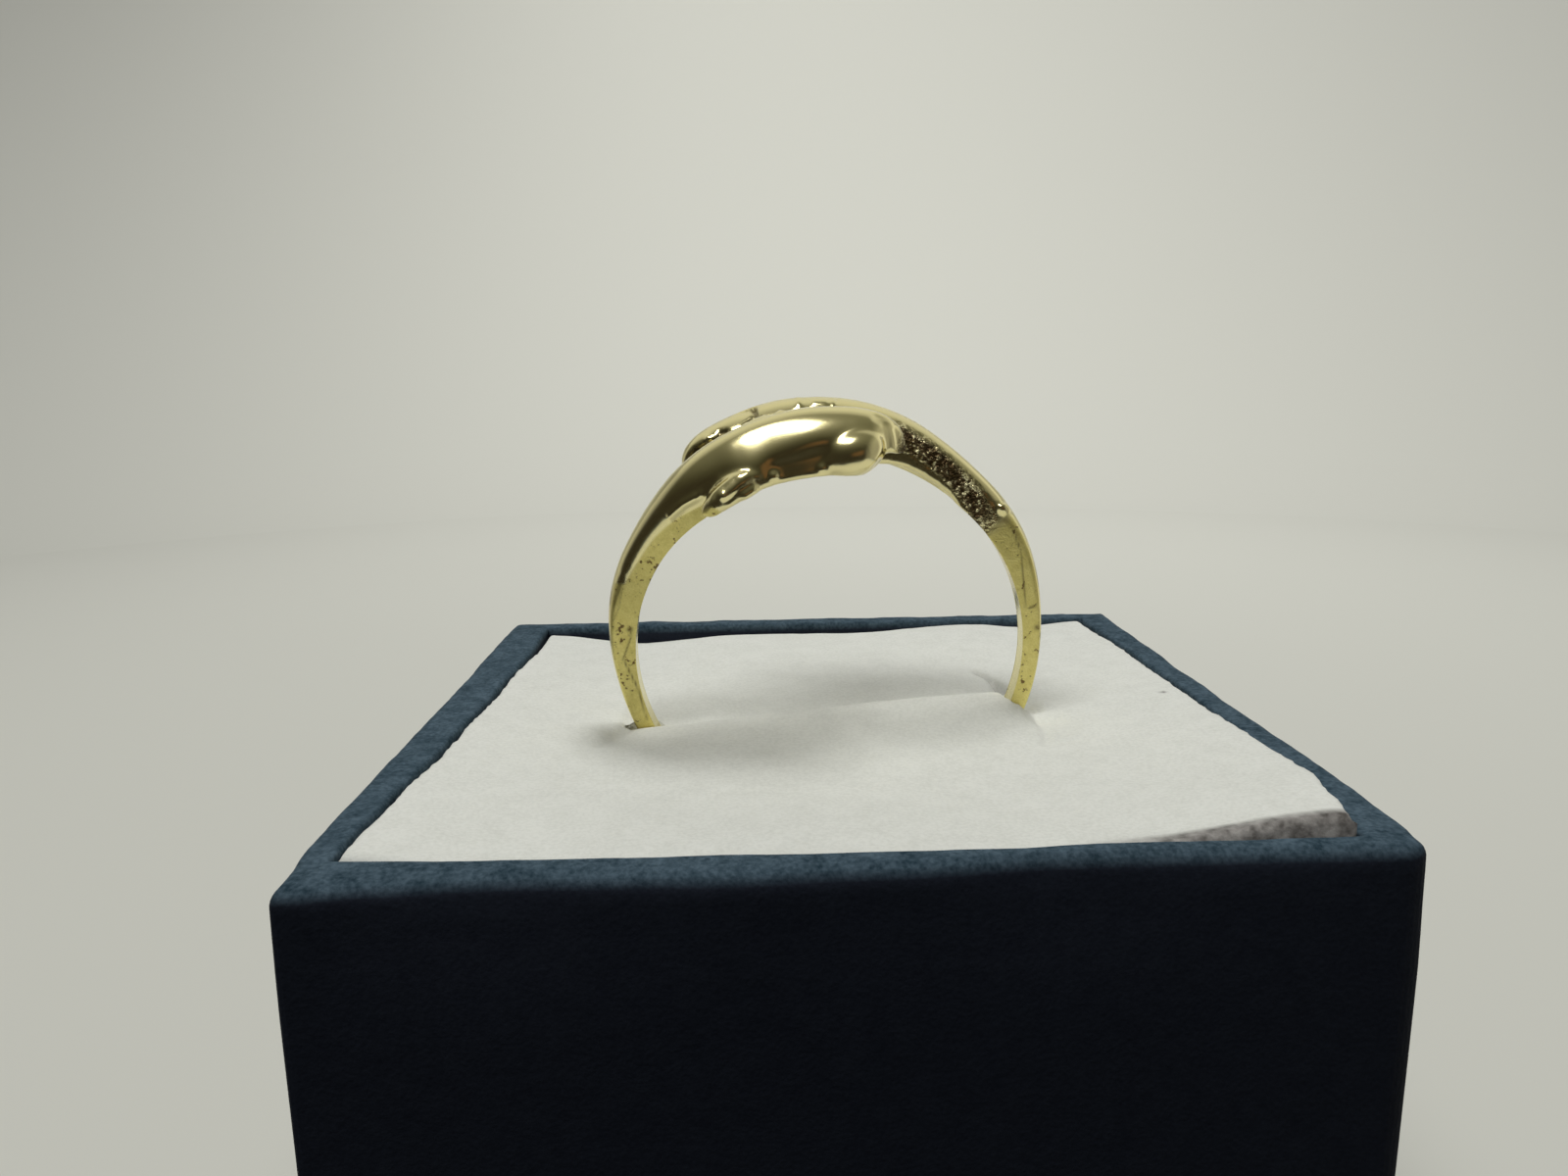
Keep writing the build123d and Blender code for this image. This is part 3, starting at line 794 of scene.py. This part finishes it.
# %% Roll the rim and lay the paper a little uneven
ROLL, INNER_ROLL = 0.42, 0.15       # radii of the rim's outer and inner edges
PAPER_GAP = 0.07            # between the foam's edge and the paper
SKEW, BACK_SKEW = 0.035, 0.05       # how the front wall is turned and set back
for vert in bm.verts:
    x, y, z = vert.co / MM
    drop = rim_height / MM - z
    near_rim = 1 - smooth(drop / 5)
    wave = noise.noise(Vector((x * 0.35, y * 0.35, z * 0.15)))
    fine = noise.noise(Vector((x * 1.5, y * 1.5, z * 0.6 + 9)))
    side = 1 if x > 0 else -1
    if drop < 0.01:
        corner = FRONT_RIGHT_CORNER if x > 0 > y else OTHER_CORNERS
        past_x, past_y = abs(x) - out_x + corner, abs(y) - out_y + corner
        from_outer = corner - hypot(max(past_x, 0), max(past_y, 0)) - min(max(past_x, past_y), 0)
        from_inner = hypot(max(abs(x) - in_x, 0), max(abs(y) - in_y, 0))
        worn_round = smooth((-y - out_y + 2.2) / 1.0) * (1 - 0.6 * smooth((abs(x) - out_x + 3) / 3))
        z -= rolled(from_outer, ROLL * (1 + worn_round)) + rolled(from_inner, INNER_ROLL)
    # How far the paper stands back, then the shares of the way from the inner to the outer face
    # of a side wall and of an end wall.
    sag = 0.04 + 0.05 * wave
    across = smooth((abs(x) - in_x) / WALL)
    along = smooth((abs(y) - in_y) / WALL)
    rows, lean = (right_rows, right_lean) if x > 0 else (left_rows, left_lean)
    to_foam = abs(along_rows(rows, y)) + PAPER_GAP + 0.04 * fine - in_x
    beside = smooth((abs(x) - in_x + 2.5) / 2.5) * (abs(x) > in_x - 0.01 or drop < 3)
    x += side * (near_rim * (to_foam * (1 - across) * beside - sag * across)
                 + along_rows(lean, y) * across)
    if y > in_y - 0.01:
        y -= near_rim * (0.06 * fine * (1 - along) + sag * along)
    elif y < 3 - in_y:
        skew = SKEW * vert.co.x / MM - BACK_SKEW
        outer = skew + near_rim * (along_rows(front_outer, x) + out_y - skew + 0.05 * wave)
        inner = near_rim * (along_rows(front_inner, x) + in_y + 0.04 * fine)
        y += (outer * along + inner * (1 - along)) * smooth((3 - in_y - y) / 3)
    z -= near_rim * (sag + 0.03 * fine)
    vert.co = Vector((x, y, z)) * MM
print("tray volume:", round(bm.calc_volume(signed=True) * 1e9), "mm3")
for face in bm.faces:
    face.smooth = True
tray = new_object("box_tray_paper", mesh_from(bm, "box_tray_paper"))
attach(tray, "root")
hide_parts("box_tray")

# %% [markdown]
# ## Finishes
#
# The gold, the foam and the paper all have a fine grain. One small node group makes it, from two
# noises, and gives out only a value. Its inputs are how many cells each noise has in a metre, and
# how much the coarse one counts. Noise needs no image and has no seams.

# %% The grain
def add(tree, kind, **settings):
    node = tree.nodes.new(kind)
    for key, value in settings.items():
        setattr(node, key, value)
    return node


def grain_group():
    """Fine and coarse noise of the piece's own coordinates, mixed to one grain."""
    group = bpy.data.node_groups.new("grain", "ShaderNodeTree")
    for name in ("Fine", "Coarse", "Coarse Share"):
        group.interface.new_socket(name=name, in_out="INPUT", socket_type="NodeSocketFloat")
    group.interface.new_socket(name="Grain", in_out="OUTPUT", socket_type="NodeSocketFloat")
    start = add(group, "NodeGroupInput")
    end = add(group, "NodeGroupOutput")
    place = add(group, "ShaderNodeTexCoord")
    fine = add(group, "ShaderNodeTexNoise")
    coarse = add(group, "ShaderNodeTexNoise")
    mix = add(group, "ShaderNodeMix", data_type="FLOAT")
    link = group.links.new
    link(place.outputs["Object"], fine.inputs["Vector"])
    link(place.outputs["Object"], coarse.inputs["Vector"])
    link(start.outputs["Fine"], fine.inputs["Scale"])
    link(start.outputs["Coarse"], coarse.inputs["Scale"])
    fine.inputs["Detail"].default_value = 3
    coarse.inputs["Detail"].default_value = 4
    link(start.outputs["Coarse Share"], mix.inputs["Factor"])
    link(fine.outputs["Fac"], mix.inputs["A"])
    link(coarse.outputs["Fac"], mix.inputs["B"])
    link(mix.outputs["Result"], end.inputs["Grain"])
    return group


grain = grain_group()
print("grain:", len(grain.nodes), "nodes")


def grain_node(tree, fine, coarse, share):
    node = add(tree, "ShaderNodeGroup", node_tree=grain)
    node.inputs["Fine"].default_value = fine
    node.inputs["Coarse"].default_value = coarse
    node.inputs["Coarse Share"].default_value = share
    return node.outputs["Grain"]


# %% Colours and values from what is on the surface
def painted(tree, name):
    """The value painted on the points under a name."""
    return add(tree, "ShaderNodeAttribute", attribute_name=name).outputs["Fac"]


def ramp(tree, source, stops):
    """Colours at places along a value."""
    node = add(tree, "ShaderNodeValToRGB")
    while len(node.color_ramp.elements) < len(stops):
        node.color_ramp.elements.new(0.5)
    for element, (place, colour) in zip(node.color_ramp.elements, stops):
        element.position = place
        element.color = (*colour, 1)
    tree.links.new(source, node.inputs["Fac"])
    return node.outputs["Color"]


def mixed(tree, kind, factor, a, b, blend="MIX"):
    """A mix of two values, FLOAT, or colours, RGBA. Each can be a socket or a constant."""
    node = add(tree, "ShaderNodeMix", data_type=kind, blend_type=blend)
    for value, name in ((factor, "Factor"), (a, "A"), (b, "B")):
        if isinstance(value, bpy.types.NodeSocket):
            tree.links.new(value, node.inputs[name])
        else:
            node.inputs[name].default_value = (*value, 1) if isinstance(value, tuple) else value
    return node.outputs["Result"]


# %% Materials and their relief
def new_material(name):
    material = bpy.data.materials.new(name)
    material.use_nodes = True
    return material, material.node_tree, material.node_tree.nodes["Principled BSDF"]


def bump_from(tree, shader, source, strength, distance):
    """Fine relief from a value. The distance is in metres."""
    bump = add(tree, "ShaderNodeBump")
    bump.inputs["Strength"].default_value = strength
    bump.inputs["Distance"].default_value = distance
    tree.links.new(source, bump.inputs["Height"])
    tree.links.new(bump.outputs["Normal"], shader.inputs["Normal"])
    return bump


def matt(shader, roughness, specular):
    shader.inputs["Roughness"].default_value = roughness
    shader.inputs["Specular IOR Level"].default_value = specular


# %% [markdown]
# The gold is one metal with four looks: bright where it was polished, dull and pitted where it
# was brushed flat, grainy where it was left as cast, and brown in the cracks. The cast metal's
# very dark base is partly painted shade, for the dark room that this side of the tail reflects.

# %% Gold
gold, tree, shader = new_material("gold")
link = tree.links.new
dark_paint, brushed_paint, cast_paint = (painted(tree, name) for name in ("dark", "brushed", "cast"))
brush_marks = grain_node(tree, 14000, 2600, 0.45)
pits = grain_node(tree, 5200, 1300, 0.5)
cast_grain = grain_node(tree, 5200, 2100, 0.4)
pit_mask = add(tree, "ShaderNodeMath", operation="MULTIPLY")
link(ramp(tree, pits, ((0.355, (1, 1, 1)), (0.40, (0, 0, 0)))), pit_mask.inputs[0])
link(brushed_paint, pit_mask.inputs[1])
flat_tone = ramp(tree, brush_marks, ((0.3, (0.70, 0.60, 0.19)), (0.7, (0.90, 0.80, 0.32))))
# real cast grain, on a very dark base that is partly painted shade for the dark room it reflects
cast_grain_and_shade_tone = ramp(tree, cast_grain, ((0.40, (0.045, 0.028, 0.013)), (0.53, (0.13, 0.092, 0.045)),
                                    (0.60, (0.95, 0.88, 0.55))))
colour = mixed(tree, "RGBA", brushed_paint, (0.87, 0.78, 0.42), flat_tone)
colour = mixed(tree, "RGBA", cast_paint, colour, cast_grain_and_shade_tone)
colour = mixed(tree, "RGBA", pit_mask.outputs["Value"], colour, (0.20, 0.13, 0.05))
colour = mixed(tree, "RGBA", dark_paint, colour, (0.10, 0.06, 0.025))
link(colour, shader.inputs["Base Color"])
shader.inputs["Metallic"].default_value = 1.0
roughness = mixed(tree, "FLOAT", brushed_paint, 0.20, 0.42)
link(mixed(tree, "FLOAT", cast_paint, roughness, 0.20), shader.inputs["Roughness"])
brushed_relief = mixed(tree, "FLOAT", brushed_paint, 0.5, brush_marks)
cast_relief = mixed(tree, "FLOAT", cast_paint, 0.5, cast_grain)
brush_bump = bump_from(tree, shader, brushed_relief, 0.6, 0.00006)
cast_bump = bump_from(tree, shader, cast_relief, 1.0, 0.00030)
link(brush_bump.outputs["Normal"], cast_bump.inputs["Normal"])
ring.data.materials.append(gold)
print("gold:", len(tree.nodes), "nodes")

# %% [markdown]
# The foam is covered with short fibres, so it is matt, and its colour and relief come from the
# same grain. Where dirt and painted shade are painted on it, a grey, blotchy ramp takes over: a
# real speck of dirt, and painted shade along the front edge and in the creases.

# %% Foam
white, tree, shader = new_material("white foam")
flock = grain_node(tree, 6500, 900, 0.35)
fuzz = grain_node(tree, 3000, 1200, 0.5)
clean = ramp(tree, flock, ((0.25, (0.70, 0.71, 0.64)), (0.6, (0.82, 0.83, 0.76))))
# grey of a real speck of dirt and of painted shade on the edge and in the creases
grime_and_shade = ramp(tree, fuzz, ((0.35, (0.06, 0.052, 0.045)), (0.65, (0.42, 0.40, 0.37))))
dirty_and_shaded = mixed(tree, "RGBA", painted(tree, "dirt_and_shade"), clean, grime_and_shade)
tree.links.new(dirty_and_shaded, shader.inputs["Base Color"])
matt(shader, 0.95, 0.15)
bump_from(tree, shader, flock, 0.35, 0.00012)
foam.data.materials.append(white)
print("white foam:", len(tree.nodes), "nodes")

# %% [markdown]
# The paper has a coarse leathery grain. Its colour holds painted light: it is nearly black on the
# sides, as painted shade, and paler on the rim, as painted light. It is one piece all the same: the
# height in the box turns the one colour into the other.

# %% Paper
PAINTED_LIGHT_FROM, PAINTED_LIGHT_TO = 0.55, 0.22     # millimetres under the rim over which the painted shade of the sides turns into the painted light of the rim
paper, tree, shader = new_material("blue-black paper")
link = tree.links.new
fibre = grain_node(tree, 5600, 1300, 0.45)
# painted light: the rim's paler colour, for the light that falls on its top
painted_lit_rim = ramp(tree, fibre, ((0.34, (0.016, 0.036, 0.051)), (0.66, (0.084, 0.128, 0.162))))
# painted shade: the sides' colour, darker because less light falls on them
deep = ramp(tree, fibre, ((0.3, (0.008, 0.011, 0.020)), (0.7, (0.016, 0.021, 0.033))))
apart = add(tree, "ShaderNodeSeparateXYZ")
link(add(tree, "ShaderNodeTexCoord").outputs["Object"], apart.inputs["Vector"])
# the height in the box turns the painted shade of the sides into the painted light of the rim
top = add(tree, "ShaderNodeMapRange")
top.inputs["From Min"].default_value = rim_height - PAINTED_LIGHT_FROM * MM
top.inputs["From Max"].default_value = rim_height - PAINTED_LIGHT_TO * MM
link(apart.outputs["Z"], top.inputs["Value"])
link(mixed(tree, "RGBA", top.outputs["Result"], deep, painted_lit_rim), shader.inputs["Base Color"])
matt(shader, 0.85, 0.2)
bump_from(tree, shader, fibre, 0.5, 0.0001)
tray.data.materials.append(paper)
print("paper:", len(tree.nodes), "nodes")

# %% [markdown]
# ## Floor, backdrop and light
#
# A pale floor runs under the box. All round it bends up into a wall without a seam, like paper
# laid in a studio. Two soft lights hang above, one to the front left and one to the back right,
# and each lays a faint shadow of the dolphins on the foam. A third lights the wall, and a small
# warm one shows only in the gold.

# %% Floor and backdrop
BEND, WALL_AT = 0.22, 0.50          # radius of the bend and distance of the wall, in metres
LOWEST_TURN, HIGHEST_TURN = -0.25, 1.85     # radians round the bend
UNDER_FLOOR = 0.0003        # the wall's foot lies this far under the floor
pale, tree, shader = new_material("pale sheet")
shader.inputs["Base Color"].default_value = (0.695, 0.695, 0.62, 1)
matt(shader, 0.9, 0.1)


def stage_piece(bm, name):
    for face in bm.faces:
        face.smooth = True
    piece = new_object(name, mesh_from(bm, name))
    piece.visible_diffuse = False
    piece.data.materials.append(pale)
    return piece


bm = bmesh.new()
bmesh.ops.create_grid(bm, x_segments=2, y_segments=2, size=0.9)
stage_piece(bm, "floor").visible_glossy = False


def bowl(name, first, last):
    """A part of the round wall, between two directions from the back, in degrees."""
    bm = bmesh.new()
    bmesh.ops.create_grid(bm, x_segments=round((last - first) / 2), y_segments=36, size=1.0)
    for vert in bm.verts:
        round_box = radians(first + (last - first) * (vert.co.x + 1) / 2)
        turn = LOWEST_TURN + (HIGHEST_TURN - LOWEST_TURN) * (vert.co.y + 1) / 2
        out, up = WALL_AT - BEND + BEND * sin(turn), BEND * (1 - cos(turn)) if turn > 0 else 0
        if turn > pi / 2:
            out, up = WALL_AT, BEND + BEND * (turn - pi / 2)
        vert.co = (out * sin(round_box), out * cos(round_box), up - UNDER_FLOOR)
    return stage_piece(bm, name)


bowl("backdrop", -62, 62)
bowl("backdrop front", 62, 298).visible_glossy = False


# %% The lights
def soft_light(name, place, aim, width, height, power, colour=(1, 1, 1)):
    """An area light: places and sizes in metres, power in watts."""
    data = bpy.data.lights.new(name, "AREA")
    data.shape = "RECTANGLE"
    data.size, data.size_y = width, height
    data.energy = power
    data.color = colour
    light = bpy.data.objects.new(name, data)
    bpy.context.scene.collection.objects.link(light)
    light.location = place
    light.rotation_euler = (Vector(aim) - Vector(place)).to_track_quat("-Z", "Y").to_euler()
    light.visible_camera = False
    return light


soft_light("front left", (-0.155, -0.24, 0.55), (0, 0, 0.03), 0.32, 0.16, 1.52)
back_right = soft_light("back right", (0.12, 0.10, 0.60), (0, 0, 0.03), 0.22, 0.16, 1.33)
back_right.visible_glossy = False
wash = soft_light("wall wash", (0.015, 0.283, 0.306), (0.10, 0.475, -0.016), 0.30, 0.25, 0.56)
wash.visible_glossy = False
soft_light("warm patch", (0.16, -0.47, 0.0), (0, 0, 0.04), 0.24, 0.16, 0.014, (1.0, 0.50, 0.24))
print("lights:", len(bpy.data.lights))

# %% [markdown]
# The room is dark on the camera's side and pale behind the box. The gold shows it: its crest
# picks up the pale side, and its flank the dark one. The room is hidden from diffuse rays, so it
# doesn't fill in the soft shadows on the foam.

# %% The room
world = bpy.data.worlds.new("room")
world.use_nodes = True
tree = world.node_tree
split = add(tree, "ShaderNodeSeparateXYZ")
tree.links.new(add(tree, "ShaderNodeTexCoord").outputs["Generated"], split.inputs["Vector"])
above = ramp(tree, split.outputs["Z"], ((0.0, (0.032, 0.028, 0.020)), (0.30, (0.052, 0.050, 0.034)),
                                        (0.80, (0.16, 0.16, 0.12)), (1.0, (0.19, 0.19, 0.15))))
behind = ramp(tree, split.outputs["Y"], ((0.0, (0, 0, 0)), (0.12, (0.24, 0.24, 0.23)),
                                         (0.45, (0.52, 0.52, 0.49)), (1.0, (0.56, 0.56, 0.53))))
right = ramp(tree, split.outputs["X"], ((0.0, (0, 0, 0)), (0.62, (0, 0, 0)),
                                        (0.85, (0.3, 0.3, 0.27))))
room = mixed(tree, "RGBA", 1.0, above, behind, "ADD")
room = mixed(tree, "RGBA", 1.0, room, right, "ADD")
tree.links.new(room, tree.nodes["Background"].inputs["Color"])
bpy.context.scene.world = world
world.cycles_visibility.diffuse = False
bpy.context.scene.view_settings.view_transform = "Standard"
print("room:", len(tree.nodes), "nodes")

# %% [markdown]
# ## Camera
#
# The camera stands where the photograph was taken, a little above the rim and close to the box.

# %% Camera
LENS = 25.405
CAMERA_X, CAMERA_Y, OVER_RIM = -3.236, -50.592, 15.821      # millimetres
CAMERA_YAW, LOOK_DOWN, CAMERA_ROLL = -1.16, 11.49, -0.82    # degrees
camera_data = bpy.data.cameras.new("camera")
camera_data.lens = LENS
camera_data.sensor_width = 36
camera_data.clip_start = 0.002
camera_data.clip_end = 10
camera = bpy.data.objects.new("camera", camera_data)
bpy.context.scene.collection.objects.link(camera)
eye = Vector((CAMERA_X * MM, CAMERA_Y * MM, rim_height + OVER_RIM * MM))
camera.matrix_world = (Matrix.Translation(eye) @ rotate(CAMERA_YAW, "Z")
                       @ rotate(90 - LOOK_DOWN, "X") @ rotate(CAMERA_ROLL, "Z"))
bpy.context.scene.camera = camera
print("camera:", LENS, "mm lens,", round(eye.z / MM, 1), "mm above the floor")
